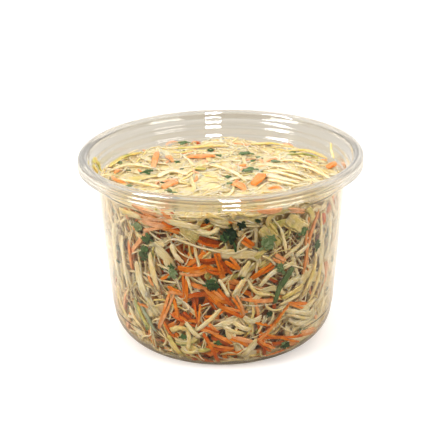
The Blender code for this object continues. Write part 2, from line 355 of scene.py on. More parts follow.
def smooth_path(points, count):
    """Points spread evenly along a smooth curve through the given ones."""
    points = np.array(points, float)
    if len(points) == 2:
        points = np.array([points[0], points.mean(axis=0), points[1]])
    padded = np.vstack((2 * points[0] - points[1], points, 2 * points[-1] - points[-2]))
    t, curve = np.linspace(0, 1, 12, endpoint=False)[:, None], []
    for a, b, c, d in zip(padded, padded[1:], padded[2:], padded[3:]):
        square, cube = 2 * a - 5 * b + 4 * c - d, 3 * b - a - 3 * c + d
        curve.append(0.5 * (2 * b + (c - a) * t + square * t**2 + cube * t**3))
    curve = np.vstack((*curve, points[-1]))
    run = summed(steps_of(curve))
    steps = np.linspace(0, run[-1], count)
    return np.stack([np.interp(steps, run, column) for column in curve.T], axis=1)


def bar(centres, facing, width, thickness, section, twist=0.0, cupped=0.0):
    """Rings of corners along a path. Width and thickness are given for each ring."""
    ahead = unit(np.gradient(centres, axis=0))
    across = unit(np.cross(ahead, facing))
    facing = np.cross(across, ahead)
    turn = np.linspace(-0.5, 0.5, len(centres))[:, None] * twist
    c, s = np.cos(turn), np.sin(turn)
    across, facing = across * c + facing * s, facing * c - across * s
    x, y = section[:, 0], section[:, 1]
    side = (width[:, None] / 2) * x[None, :]
    rise = (thickness[:, None] / 2) * y[None, :] + cupped * (x**2)[None, :]
    return centres[:, None] + across[:, None] * side[..., None] + facing[:, None] * rise[..., None]


class Kind:
    """All the pieces of one kind, joined into one mesh."""

    def __init__(self, name, rings, section, tapers=None):
        self.name, self.rings, self.section, self.tapers = name, rings, section, tapers
        self.corners, self.grain, self.shade = [], [], []

    def add(self, corners, shade, width, length):
        every = corners.shape[:2]
        side = np.broadcast_to(self.section[:, 0] * width / 2, every)
        along = np.broadcast_to(np.linspace(0, length, every[0])[:, None], every)
        number = np.full(every, 17.0 * len(self.corners))
        self.corners.append(corners)
        self.grain.append(np.stack((along, side, number), axis=-1))
        self.shade.append(np.full(every, shade))

    def joined(self, finish):
        """The mesh: a skin round each piece and a cap on each of its ends, all of four-sided faces."""
        count, rings, around = len(self.corners), self.rings, len(self.section)
        i, ring, half = np.arange(around), np.arange(rings - 1), np.arange(around // 2 - 1)
        j = (i + 1) % around
        cap = np.stack((half, half + 1, around - 2 - half, around - 1 - half), axis=-1)
        first = (np.arange(count) * rings * around)[:, None, None]
        start = first + (ring * around)[None, :, None]
        skin = np.stack([start + corner for corner in (i, j, j + around, i + around)], axis=-1)
        parts = (skin, first + cap[:, ::-1], first + (rings - 1) * around + cap)
        faces = np.concatenate([part.reshape(-1, 4) for part in parts])
        mesh = bpy.data.meshes.new(self.name)
        mesh.from_pydata((np.array(self.corners).reshape(-1, 3) * MM).tolist(), [], faces.tolist())
        grain = mesh.attributes.new("grain", "FLOAT_VECTOR", "POINT")
        grain.data.foreach_set("vector", np.array(self.grain).ravel())
        shade = mesh.attributes.new("shade", "FLOAT", "POINT")
        shade.data.foreach_set("value", np.array(self.shade).ravel())
        # The bake map has a cell for each piece: its skin in the middle, its ends below and above.
        columns = ceil(sqrt(count))
        cell = np.array((1 / columns, 1 / ceil(count / columns)))
        corner = np.stack(np.divmod(np.arange(count), columns)[::-1], axis=-1) * cell
        u = np.stack((i, i + 1, i + 1, i), axis=-1) / around * 0.92 + 0.04
        v = np.stack((ring, ring, ring + 1, ring + 1), axis=-1) / (rings - 1) * 0.74 + 0.13
        skin = np.stack(np.broadcast_arrays(u[None], v[:, None]), axis=-1)
        turn = 2 * pi * i / around
        rim = np.stack((0.5 + 0.42 * np.cos(turn), 0.06 + 0.045 * np.sin(turn)), axis=-1)
        parts = (
            corner[:, None, None, None] + skin * cell,
            corner[:, None, None] + rim[cap[:, ::-1]] * cell,
            corner[:, None, None] + (rim[cap] + (0.0, 0.88)) * cell,
        )
        flat = np.concatenate([part.reshape(-1, 2) for part in parts])
        mesh.uv_layers.new(name=BAKE_MAP).data.foreach_set("uv", flat.ravel())
        made = placed(self.name, mesh, finish)
        if self.section is SQUARE:
            mesh.set_sharp_from_angle(angle=CUT_EDGE)
        return made


# Tapers: the share of its width, and of its thickness, that a piece has at its ends, and how uneven it is.
STICK_TAPERS = ((0.65, 0.16), (0.7, 0.12))
white_cabbage = Kind("white_cabbage_shreds", SHRED_RINGS, BROAD)
green_cabbage = Kind("green_cabbage_shreds", SHRED_RINGS, BROAD)
threads = Kind("cabbage_threads", THREAD_RINGS, FINE, ((0.4, 0.25), (0.4, 0.15)))
carrot = Kind("carrot_sticks", STICK_RINGS, SQUARE, STICK_TAPERS)
parsley = Kind("parsley_leaves", LEAF_RINGS, BROAD)
stem = Kind("green_stems", STICK_RINGS, SQUARE, STICK_TAPERS)


def cabbage(shade):
    """The kind that a shred of that shade belongs to: white heart or green outer leaves."""
    return white_cabbage if shade < GREEN_FROM else green_cabbage


def tapered(count, ends, unevenness):
    """Shares of a piece's width along it: less at its ends, and a little uneven."""
    t = np.linspace(-1, 1, count)
    shape = 1 - (1 - ends) * np.abs(t) ** 5 * np.where(t > 0, 1.0, between(0.3, 1.0))
    wobble = np.interp(t, np.linspace(-1, 1, 6), between(-unevenness, unevenness, 6))
    return shape * (1 + wobble + between(-0.4, 0.4, count) * unevenness)


def lay(kind, centres, facing, width, thickness, shade, press, twist=0.0, crinkle=0.0):
    """Adds one piece along a path, pressed back into the cup where it would stick out."""
    count = kind.rings
    across, through = kind.tapers or ((0.3 if width < WIDE else 0.7, 0.22), (0.45, 0.1))
    widths, thick = width * tapered(count, *across), thickness * tapered(count, *through)
    cupped = 0.0 if kind.tapers else between(-0.12, 0.12) * width
    if crinkle:
        phase, pace = between(0, 6.3), between(1.2, 2.4)
        wave = crinkle * np.sin(np.linspace(0, 6.3 * pace, count) + phase)
        centres = centres - facing * np.abs(wave)[:, None]
    corners = bar(centres, facing, widths, thick, kind.section, twist, cupped)
    kind.add(kept_in_cup(corners, press), shade, width, float(steps_of(centres).sum()))


def leaflet(centre, facing, heading, size, shade, press):
    """One leaflet of parsley: a thin bar as wide along its length as the leaf's lobes are."""
    t = np.linspace(-1, 1, LEAF_RINGS)
    side = np.cross(UPWARD if abs(facing[2]) < 0.7 else BACKWARD, facing)
    side /= np.linalg.norm(side)
    ahead = side * cos(heading) + np.cross(facing, side) * sin(heading)
    bow = between(-0.25, 0.25) * np.cross(facing, ahead)
    centres = centre + size / 2 * ((t + 1)[:, None] * ahead + (t**2)[:, None] * bow)
    centres = centres - facing * (0.14 * size * between(0.2, 1.0) * (t + 1) ** 2 / 4)[:, None]
    widths = size * between(0.6, 0.95) * LEAF_LOBES * (1 + between(-0.4, 0.4, LEAF_RINGS))
    thick = np.full(LEAF_RINGS, LEAF_THICKNESS)
    corners = bar(centres, facing, widths, thick, BROAD, between(-0.5, 0.5), 0.08 * size)
    parsley.add(kept_in_cup(corners, press), shade, size * 0.7, size)


def leaf(centre, facing, heading, size, shade, press):
    """A chopped piece of parsley: up to three leaflets that spread from one point."""
    if size < 3.0:
        leaflet(centre, facing, heading, size, shade, press)
        return
    for turn, share in ((0.0, 0.74), (0.55, 0.6), (-0.6, 0.5)):
        angle = heading + turn + between(-0.35, 0.35)
        tone = float(np.clip(shade + between(-0.08, 0.08), 0, 1))
        leaflet(centre, facing, angle, size * share, tone, press)
    leaflet(centre, facing, heading + pi + between(-0.5, 0.5), size * 0.3, shade, press)


# ---- the seeded fill


def carrot_share(angle, height):
    """How much of the coleslaw is carrot at a place on the wall."""
    share = CARROT_SHARE
    for more, turn, width, middle, tall in CARROT_SPOTS:
        share += more * exp(-(((degrees(angle) - turn) / width) ** 2) - ((height - middle) / tall) ** 2)
    return max(0.03, share)


def cabbage_shade():
    """Where a shred comes from, between the cabbage's white heart, 0, and its green outer leaves, 1."""
    shade = pick((0.1, 0.25, 0.4, 0.65, 0.9), p=(0.34, 0.28, 0.2, 0.12, 0.06))
    return float(np.clip(shade + normal(0, 0.07), 0, 1))


def swing(count, strength):
    """How the heading of a limp shred swings along its length."""
    t = np.linspace(0, 6.3, count)
    return strength * sum(normal() * np.sin(pace * t + between(0, 6.3)) for pace in (0.8, 1.9))


def wall_path(angle, height, heading, length, bend, count):
    """A bending path over the wall as angles and runs, centred on its start."""
    step = length / (count - 1)
    headings = heading + np.linspace(-0.5, 0.5, count) * bend + swing(count, 0.16 * abs(bend) + 0.06)
    runs = run_at(height) + summed(np.sin(headings[1:]) * step)
    runs -= runs.mean() - run_at(height)
    radii = np.interp(runs, WALL_RUN, WALL[:, 0])
    angles = angle + summed(np.cos(headings[1:]) * step / radii[1:])
    return angles - angles.mean() + angle, runs


def fill_wall(count, nearest, furthest, dive):
    """Pieces at that range of depth behind the wall, from the foot to the upper face."""
    for i in range(count):
        angle = (i * GOLDEN_TURN + between(-0.1, 0.1) + pi) % (2 * pi) - pi
        top_run = run_at(level(WALL_TOP[0] * sin(angle), -WALL_TOP[0] * cos(angle)) + 0.5)
        height = np.interp(top_run * (i + 0.5) / count, WALL_RUN, WALL[:, 1])
        heading = normal(0, 0.9) if chance() < 0.55 else between(0, 6.28)
        if abs(abs(angle) - UPRIGHT_AT) < 0.5:
            heading = normal(1.57, 0.55)
        is_carrot = chance() < carrot_share(angle, height)
        is_thread = not is_carrot and chance() < THREAD_SHARE
        if is_carrot:
            width, thickness, length = between(0.9, 2.1), between(0.7, 1.3), between(8, 26)
            bend, twist, shade = normal(0, 0.45), normal(0, 0.6), between(0.2, 0.9)
        elif is_thread:
            width, thickness, length = between(0.45, 1.1), between(0.4, 0.7), between(8, 28)
            bend, twist, shade = normal(0, 2.0), 0.0, cabbage_shade() * 0.8
        else:
            width = pick((0.6, 1.1, 2.0, 3.7), p=(0.36, 0.33, 0.21, 0.10)) * between(0.8, 1.25)
            thickness, length = between(0.4, 0.9), between(9, 30)
            bend, twist, shade = normal(0, 1.3), normal(0, 1.1), cabbage_shade()
        # Painted reflection: pieces at the left and right are made paler, standing in for the sheet's veil
        # of reflected light.
        if PAINTED_VEIL_ANGLES[0] < abs(angle) < PAINTED_VEIL_ANGLES[1]:
            shade *= 0.45
            width *= 1.0 if is_carrot or is_thread else 1.3
        kind = carrot if is_carrot else threads if is_thread else cabbage(shade)
        angles, runs = wall_path(angle, height, heading, length, bend, kind.rings)
        # What would pass the upper face or the foot turns back.
        edge = top_run - width * 0.3 - between(0, 1.5)
        runs = np.where(runs > edge, edge - (runs - edge) * 0.3, runs)
        runs = np.where(runs < 0.5, 0.5 - (runs - 0.5) * 0.3, runs)
        t = np.linspace(-1, 1, kind.rings) + between(-0.4, 0.4)
        depth = between(nearest, furthest) + thickness / 2 + dive * between(0.2, 1.0) * t**2
        centres, facing = at_wall(angles, runs, depth)
        press, crinkle = between(0.03, 0.2), 0.0 if is_carrot else between(0, 0.5)
        lay(kind, centres, facing, width, thickness, shade, press, twist, crinkle)


def fill_top(count, lowest, highest):
    """Pieces on the upper face, at that range of heights over it."""
    for i in range(count):
        x, y = spread(i, count, 49.5)
        if chance() < TOP_CARROTS:
            kind, width, thickness = carrot, between(0.8, 1.5), between(0.7, 1.1)
            length, bend, shade = between(4, 9), 0.3, between(0.0, 0.2)
        else:
            width = pick((0.8, 1.4, 2.4, 4.4), p=(0.4, 0.34, 0.19, 0.07)) * between(0.8, 1.2)
            thickness, length, bend = between(0.35, 0.7), between(10, 32), normal(0, 1.3)
            shade = cabbage_shade() * 0.55
            kind = cabbage(shade)
        if kind is white_cabbage and chance() < 0.75:
            kind, width, bend = threads, between(0.5, 1.1), bend * 1.6
        t = np.linspace(-1, 1, kind.rings)
        headings = between(0, 6.28) + t / 2 * bend + swing(kind.rings, 0.2)
        step, middle = length / (kind.rings - 1), headings[kind.rings // 2]
        px = x + np.cumsum(np.cos(headings) * step) - length / 2 * cos(middle)
        py = y + np.cumsum(np.sin(headings) * step) - length / 2 * sin(middle)
        over = np.minimum(1.0, (inside_radius(LEVEL) - width * 0.4) / (np.hypot(px, py) + 1e-9))
        rise = between(lowest, highest) - between(0.0, 1.6) * t**2 + between(-0.9, 0.9) * t
        centres = np.stack((px * over, py * over, level(px * over, py * over) + rise), axis=-1)
        twist, crinkle = normal(0, 0.8), 0.0 if kind is carrot else between(0, 0.6)
        lay(kind, centres, UPWARD, width, thickness, shade, TOP_PRESS, twist, crinkle)


def fill_base(count):
    """Pieces that lie on the cup's base."""
    for i in range(count):
        x, y = spread(i, count, 34.0)
        is_carrot = chance() < 0.3
        shade = between(0.3, 0.8) if is_carrot else cabbage_shade()
        kind = carrot if is_carrot else cabbage(shade)
        width, thickness, length = between(1.2, 3.6), between(0.6, 1.2), between(14, 30)
        headings = between(0, 6.28) + np.linspace(-0.5, 0.5, kind.rings) * normal(0, 0.8)
        px = x + np.cumsum(np.cos(headings) * length / kind.rings)
        py = y + np.cumsum(np.sin(headings) * length / kind.rings)
        over = np.minimum(1.0, 38.0 / (np.hypot(px, py) + 1e-9))
        ground = np.interp(np.hypot(px * over, py * over), *FLOOR.T)
        height = ground + thickness / 2 + between(0.0, 1.2)
        centres = np.stack((px * over, py * over, height), axis=-1)
        lay(kind, centres, -UPWARD, width, thickness, shade, between(0.03, 0.2), normal(0, 0.3))


def fill_leaves(count):
    """Chopped parsley at the wall and, one in five, on the upper face."""
    for i in range(count):
        press, shade = between(0.05, 0.25), between(0.1, 1.0)
        if i % 5 == 0:
            reach, turn = 48.0 * sqrt(chance()), between(0, 6.28)
            x, y = reach * sin(turn), -reach * cos(turn)
            centre = np.array((x, y, level(x, y) + between(-0.2, 0.9)))
            heading, size = between(0, 6.28), between(1.6, 4.6)
            leaf(centre, UPWARD, heading, size, shade * 0.6, press)
            continue
        angle, height = between(-pi, pi), between(3, LEVEL - 2)
        centre, facing = at_wall(angle, run_at(height), between(0.1, 1.6))
        heading, size = between(0, 6.28), pick((1.8, 2.6, 4.0, 6.0))
        leaf(centre, facing, heading, size, shade, press)


# ---- the pieces that the picture shows

# A shred, stick or stem is given by its shade, its width in millimetres and the x,y of points along its
# middle, in pixels of the picture. A leaf is given by its shade, its size in millimetres, its heading in
# degrees and the x,y of its middle.
SHREDS_AT_WALL = (
    # The cream shreds at upper left, with the curls under them.
    (0.12, 1.3, 164,244, 172,239.5, 183,242, 197,247, 211,250.6, 224,254),
    (0.12, 1.3, 222,254, 231,254, 240,252, 250,247),
    (0.0, 2.2, 171,245, 175,255, 183,264),
    (0.2, 1.3, 194,243, 196,256, 199,267, 193,270.5),
    (0.2, 1.3, 196,269, 187,274.5, 189,285, 193,297),
    (0.3, 0.9, 156.5,265, 169,270, 176,279, 180,288.5, 185,295.5),
    (0.1, 0.8, 176,297, 182,299.5, 185.5,296, 183,289, 180,285),
    (0.1, 0.8, 180,299.5, 186,304, 189,308, 186,310.5, 182,309),
    # Low in the middle, and the green clump near the foot.
    (0.1, 1.9, 184,320.5, 189,327, 194,333, 200,339),
    (0.15, 1.8, 222,308, 213,317, 205,324, 195,332),
    (0.55, 2.2, 170,331, 179,328, 189,331),
    (0.6, 2.4, 174,340, 185,343, 197,340),
    (0.5, 2.0, 180,350, 190,353, 200,350),
    (0.35, 1.8, 186,328, 189,339, 187,352),
    (0.65, 2.0, 168,336, 174,346, 183,356),
    # The left flank.
    (0.85, 1.9, 134,298, 141,314, 150,331),
    (0.3, 2.0, 128,305, 134,317, 142,329),
    (0.1, 3.4, 113,225, 115,252, 119,282),
    (0.15, 2.4, 121,236, 124,262, 129,292),
    (0.12, 4.0, 136,262, 140,280, 148,302),
    (0.2, 3.0, 149,252, 153,272, 159,292),
    (0.25, 3.4, 143,286, 150,302, 158,318),
    (0.4, 2.2, 117,286, 121,302, 130,322),
    # Under the rim, and round the big dark leaf.
    (0.3, 3.0, 118,209, 131,214, 147,220),
    (0.2, 3.0, 163,220, 180,224, 199,228),
    (0.6, 5.2, 180,227, 189,234, 198,241),
    (0.1, 2.0, 196,231, 208,234, 220,229),
    (0.1, 0.9, 246,236, 239.5,242.5, 237,253),
    # The wide green one and the sweeps to its right.
    (0.62, 5.6, 262,229, 271,236, 281,246),
    (0.2, 1.4, 281,228, 283,236, 285,245, 287,254),
    (0.1, 1.9, 296,261.5, 287,266, 279,269, 271,274, 265,280, 260,288),
    (0.25, 2.6, 284,289, 292,282, 301,276),
    (0.58, 2.3, 282,299, 293,292, 304,285),
    (0.3, 1.6, 280,306, 290,300, 301,294),
    (0.3, 1.6, 248,280, 252,288, 257,293, 265,295, 274,295),
    # The V in the middle and the fan of fine ones under it.
    (0.1, 1.7, 219,280, 225,289, 229,298),
    (0.1, 1.5, 245,279, 239,287, 232,296),
    (0.35, 1.2, 265,303, 269,309, 277,310.5, 284,307.5, 290,301),
    (0.3, 1.3, 261,327, 266,320, 271,313),
    (0.15, 1.2, 257,335, 262,326, 265,316),
    (0.25, 1.2, 267,327, 272,320, 274,311),
    # Low at right.
    (0.2, 2.2, 285,311, 298,312, 313,314),
    (0.25, 1.8, 287,315, 299,317, 312,320),
    (0.15, 2.6, 289,321, 302,323.5, 315,315),
    (0.2, 3.6, 242,358, 250,349, 258,340),
    # Under the rim, from the middle to the right.
    (0.5, 6.0, 289,218, 298,225, 308,231),
    (0.62, 2.6, 308,209, 312,215, 313,222),
    (0.42, 5.2, 232,217, 247,221, 263,222),
    (0.35, 4.0, 205,217, 218,222, 231,224),
    # The right flank.
    (0.5, 2.0, 322,260, 319,275, 314,291, 309,304),
    (0.4, 1.6, 317,254, 314,270, 308,285, 303,297),
    (0.12, 2.6, 331,213, 329,240, 325,262),
    (0.15, 2.8, 326,270, 322,292, 315,309),
    (0.15, 1.7, 296,256, 304,249, 312,240),
    (0.2, 1.2, 262,256, 270,260, 277,266),
    # Pale ones in the middle and low.
    (0.3, 3.0, 250,262, 245,270, 243,279),
    (0.2, 2.4, 243,318, 252,322, 262,318),
    (0.2, 1.8, 233,322, 243,328, 252,330),
    (0.3, 1.7, 221,325, 232,331, 244,334),
)

STICKS_AT_WALL = (
    # Pale ones under the rim at left.
    (0.08, 3.6, 132,209, 146,214, 163,219),
    (0.02, 3.2, 138,217, 151,221, 166,225),
    (0.14, 3.0, 141,224, 153,227, 166,230),
    (0.05, 2.4, 160,216, 169,220, 178,226),
    (0.8, 2.8, 160,226.5, 170,228.5, 181,232),
    (0.15, 1.5, 124,207, 126,213, 128,220),
    (0.2, 1.6, 128,241, 130,256, 131,270),
    # The deep orange ones left of the middle, with the fork.
    (0.8, 3.0, 198,240, 208,243, 219,245),
    (1.0, 2.2, 199,261, 208,262, 217,261),
    (0.5, 4.0, 178,268, 195,272, 212,269),
    (0.5, 3.2, 204,266, 216,272, 229,271),
    (0.45, 2.3, 173,292, 169,302, 165,312, 161,321, 157.5,329),
    (0.5, 1.5, 173,298, 176,309, 177,320),
    (0.3, 2.4, 167,291, 176,292, 184,294),
    (0.6, 2.2, 181,276, 185,290, 188,304),
    (0.5, 2.0, 199,305, 198,316, 196,327),
    (0.55, 3.4, 202,293, 211,300, 221,307),
    (0.5, 3.0, 206,289, 217,296, 228,303),
    # Near the foot at left.
    (0.4, 3.6, 201,325, 210,329, 219,334),
    (0.9, 2.0, 183,313, 187,317, 190,321),
    (0.6, 2.6, 206,345, 219,348, 234,349),
    # The middle.
    (0.7, 2.8, 241,240, 247,243, 254,247),
    (0.3, 3.2, 275,257, 280,260, 285,263),
    (0.6, 2.4, 273,263, 266,269, 259,275, 253,281),
    (0.5, 3.4, 216,254, 221,265, 226,277),
    (0.45, 3.0, 226,261, 234,265, 241,268),
    (0.5, 2.4, 214,290, 224,299, 235,308),
    (0.5, 2.8, 219,304, 231,310, 245,318),
    (0.4, 2.0, 235,297, 241,308, 244,318),
    # Low in the middle and at right.
    (0.4, 2.6, 287,302, 297,305, 307,307),
    (0.45, 2.0, 260,336, 281,337.6, 304,339),
    (0.15, 2.8, 300,334, 309,332, 319,327),
    (0.5, 2.6, 258,339, 264,345, 272,352),
    (0.45, 3.0, 229,338, 241,341, 253,346),
    (0.5, 2.6, 212,338, 224,341, 234,346),
    # The right side.
    (0.45, 2.4, 318,210, 314,221, 310,233, 307,246, 306,258, 305,274),
    (0.75, 1.6, 325,213, 324,225),
    (0.1, 2.0, 287,213, 297,211, 306,210),
    (0.15, 2.0, 327,262, 325,277, 321,293),
    (0.1, 1.8, 258,211, 270,212, 283,210),
)

LEAVES_AT_WALL = (
    (0.2, 4.2, 30, 170.5,275.5), (0.75, 5.2, 10, 207,286), (0.6, 3.4, 60, 144,251), (0.9, 1.4, 0, 128,303),
    (1.0, 2.0, 80, 206.5,224), (1.0, 5.8, 80, 230,240), (0.95, 3.6, 40, 229,237), (0.78, 4.2, 130, 229,240),
    (0.95, 3.6, 80, 241,228), (0.25, 6.6, 40, 264,247), (0.9, 2.2, 150, 261,222), (0.3, 5.4, 120, 282,271),
    (0.5, 4.2, 20, 301,234), (0.7, 4.0, 80, 317,248), (0.8, 4.0, 0, 283,345.5), (0.85, 2.6, 50, 268,316),
    (0.6, 2.8, 20, 181,337), (0.7, 2.6, 0, 216,343),
)

STEMS_AT_WALL = (
    (0.95, 0.9, 232,240, 235,247, 236,254),
    (0.7, 2.5, 294,267, 287,277, 280,289),
    (0.7, 2.2, 282,282, 278,293, 275,304),
    (0.8, 0.6, 142,318, 145,323, 148.5,328),
    (0.1, 1.5, 133,300, 140,314, 148,330),
    (0.04, 1.3, 139,302, 147,317, 155,332),
)

SHREDS_ON_TOP = (
    (0.98, 0.9, 285,157, 301,156.5, 318,158.5),
    (0.0, 2.8, 264,177, 281,181, 300,184),
    (0.06, 2.0, 267,181, 282,185, 296,187),
    (0.0, 1.7, 268,173, 284,177, 303,181),
    (0.12, 1.7, 262,166, 285,170, 311,180),
    (0.2, 1.5, 265,172, 290,174, 318,180),
    (0.05, 1.8, 297,167, 316,174, 332,181),
    (0.25, 1.5, 280,162, 303,165, 330,176),
    (0.1, 2.0, 205,165, 225,172, 246,183),
    (0.3, 1.5, 186,175, 203,168, 222,166),
    (0.05, 2.6, 158,178, 172,174, 187,176),
    (0.1, 1.8, 110,172, 133,167, 158,170),
    (0.2, 1.6, 116,180, 138,186, 160,189),
    (0.75, 2.2, 110,168, 124,160, 142,154),
    (0.62, 2.0, 178,150, 200,150, 226,148),
    (0.5, 2.0, 250,145, 275,146, 303,150),
    (0.55, 1.8, 286,152, 306,153, 328,160),
    (0.84, 2.6, 193,169, 199,171, 206,170),
)

STICKS_ON_TOP = (
    (0.35, 2.5, 157.5,153, 155.5,161, 153,169),
    (0.4, 2.3, 188,158, 201,159, 215,157),
    (0.3, 3.0, 163,189, 170,187, 177,183),
    (0.5, 4.2, 253,186, 259,182, 263,176),
    (0.35, 3.0, 233,185, 239,188, 245,191),
    (0.35, 2.2, 288,142, 294,143, 301,145),
    (0.35, 3.0, 327,169, 334,167, 340,164),
    (0.2, 1.5, 161,143, 169,143, 177,143.5),
    (0.3, 1.5, 167,158, 173,163),
)

LEAVES_ON_TOP = (
    (0.62, 6.4, 15, 144,176), (0.45, 3.4, 120, 220,159.5), (0.36, 6.6, 170, 250,157),
    (0.34, 7.2, 175, 254,173), (0.5, 3.4, 60, 177,166), (0.85, 2.0, 30, 180,173), (0.4, 6.0, 170, 187,146),
    (0.3, 3.6, 170, 233,187), (0.8, 2.2, 0, 126,174), (0.8, 1.8, 0, 160,186),
)

# Shreds that stick to the wall above the upper face, seen over the rim on the cup's far side.
SHREDS_LEFT_ABOVE = (
    (0.85, 2.6, 92,150, 95,160, 101,171),
    (0.8, 2.2, 87,156, 91,164, 97,173),
    (0.3, 1.1, 331,143, 332,151, 334,159),
)


def beside(path, offset, turn):
    """The path moved sideways and turned a little about its middle."""
    middle = path[len(path) // 2]
    along = path[-1] - path[0]
    across = np.array((-along[1], along[0])) / (np.linalg.norm(along) + 1e-9)
    turned = (path - middle) @ np.array(((cos(turn), sin(turn)), (-sin(turn), cos(turn))))
    return turned + middle + across * offset


def sliver(offset, width, turning, shade, fading):
    """One narrow piece of a wide one, turned a little and of a slightly other shade."""
    return offset, width, normal(0, turning), float(np.clip(shade + normal(0, fading), 0, 1))


def parted(kind, width, shade):
    """A wide piece as the narrower ones that make it up: (offset, width, turn, shade) each."""
    if kind is stem or width <= (1.9 if kind is carrot else 2.3):
        return [(0.0, width, 0.0, shade)]
    count = max(2, round(width / (1.3 if kind is carrot else 0.95)))
    offsets = (np.arange(count) - (count - 1) / 2) * width / count
    if kind is carrot:
        return [sliver(o, width / count * between(0.8, 1.15), 0.16, shade, 0.17) for o in offsets]
    thin = [sliver(o, between(0.6, 1.3), 0.2, shade - 0.05, 0.14) for o in offsets]
    return [(0.0, width * 0.8, 0.0, shade)] + thin


def pairs(numbers):
    return zip(numbers[::2], numbers[1::2])


def seen_path(numbers, count, back=False):
    """A smooth path over the wall through what the pixels show, unrolled: lengths round it and runs."""
    places = [seen_at_wall(pixel, back) for pixel in pairs(numbers)]
    return smooth_path([(angle * UNROLLED, run) for angle, run in places], count)


def lay_seen_pieces():
    """The pieces above, pressed further into the wall than the seeded ones, so that they show."""
    tables = ((None, SHREDS_AT_WALL, 0.75), (carrot, STICKS_AT_WALL, 1.5), (stem, STEMS_AT_WALL, 0.9))
    for of_table, table, thickness in tables:
        for order, (main_shade, full_width, *numbers) in enumerate(table):
            main = seen_path(numbers, SHRED_RINGS)
            slivers = parted(of_table, full_width, main_shade)
            for layer, (offset, width, turn, shade) in enumerate(slivers):
                kind = of_table or (threads if width < THREAD_WIDTH else cabbage(shade))
                path = smooth_path(beside(main, offset, turn), kind.rings)
                thick = min(thickness, width * 0.8)
                depth = thick / 2 - 0.1 + 0.55 * np.linspace(-1, 1, kind.rings) ** 4
                centres, facing = at_wall(path[:, 0] / UNROLLED, path[:, 1], depth)
                # Each reaches a hair further out than the one before, so that no two faces fall together.
                press = (0.22 if of_table else 0.30) + 0.0015 * order + 0.004 * layer
                lay(kind, centres, facing, width, thick, shade, press, 0.0, 0.3 if width > WIDE else 0.08)
    for order, (shade, size, heading, *pixel) in enumerate(LEAVES_AT_WALL):
        centre, facing = at_wall(*seen_at_wall(pixel), 0.05)
        leaf(centre, facing, radians(heading), size * 1.25, shade, 0.39 + 0.002 * order)
    for of_table, table in ((None, SHREDS_ON_TOP), (carrot, STICKS_ON_TOP)):
        for shade, width, *numbers in table:
            kind = of_table or cabbage(shade)
            path = smooth_path([seen_on_top(pixel) for pixel in pairs(numbers)], kind.rings)
            rise = 1.1 + between(0, 0.5) - 0.8 * np.linspace(-1, 1, kind.rings) ** 2
            centres = np.column_stack((path, level(path[:, 0], path[:, 1]) + rise))
            thickness, tone = (1.2, shade * 0.6) if kind is carrot else (0.8, shade)
            lay(kind, centres, UPWARD, width, thickness, tone, TOP_PRESS)
    for shade, size, heading, *pixel in LEAVES_ON_TOP:
        x, y = seen_on_top(pixel)
        centre = np.array((x, y, level(x, y) + 1.6))
        leaf(centre, UPWARD, radians(heading), size, shade, TOP_PRESS)
    for shade, width, *numbers in SHREDS_LEFT_ABOVE:
        path = seen_path(numbers, SHRED_RINGS, back=True)
        centres, facing = at_wall(path[:, 0] / UNROLLED, path[:, 1], 0.35)
        lay(cabbage(shade), centres, facing, width, 0.7, shade, 0.1)


# ---- materials


def started(name):
    """A new material with its nodes and its shader."""
    made = bpy.data.materials.new(name)
    made.use_nodes = True
    return made, made.node_tree, made.node_tree.nodes["Principled BSDF"]


def bent_light(tree, light):
    """One for light on its way through the clear sheet, nothing once it is mirrored or has met the salad."""
    depths = light.outputs
    through = node(tree, "Math", {0: depths["Transmission Depth"], 1: 0.5}, operation="GREATER_THAN")
    turned_back = {0: depths["Is Diffuse Ray"], 1: depths["Glossy Depth"]}
    met = node(tree, "Math", turned_back, operation="ADD")
    unmet = node(tree, "Math", {0: met, 1: 0.5}, operation="LESS_THAN")
    return node(tree, "Math", {0: through, 1: unmet}, operation="MULTIPLY")


def make_clear_sheet():
    """Clear PET sheet, warmed and drawn into a polished mould.

    The mould leaves both faces smooth, so each bend and bead carries a sharp glint, and the sheet is a
    touch warm and grey where one looks through it lengthways at the lip. Real PET bends light with an
    index of 1.57. The coat has nearly that, for the glints. The body under it has 1.15: the sheet is half
    a millimetre thick, and the picture shows the salad through it hardly bent.
    """
    made, tree, shader = started("thermoformed_clear_pet")
    sheet = {
        "Base Color": linear("#f4f2ed"), "Roughness": SHEET_ROUGHNESS, "IOR": 1.15,
        "Transmission Weight": 1.0, "Coat Weight": 1.0, "Coat IOR": 1.5, "Coat Roughness": SHEET_ROUGHNESS,
    }
    feed(tree, shader, sheet)
    # Light that falls on the salad through the sheet goes straight on, a little dimmed.
    light = node(tree, "LightPath").outputs
    falling = {0: light["Is Shadow Ray"], 1: light["Is Diffuse Ray"]}
    passing = node(tree, "Math", falling, operation="MAXIMUM")
    open_air = node(tree, "BsdfTransparent", {"Color": linear("#fbf7ef")})
    mix = node(tree, "MixShader", {0: passing, 1: shader, 2: open_air})
    feed(tree, tree.nodes["Material Output"], {"Surface": mix})
    return made


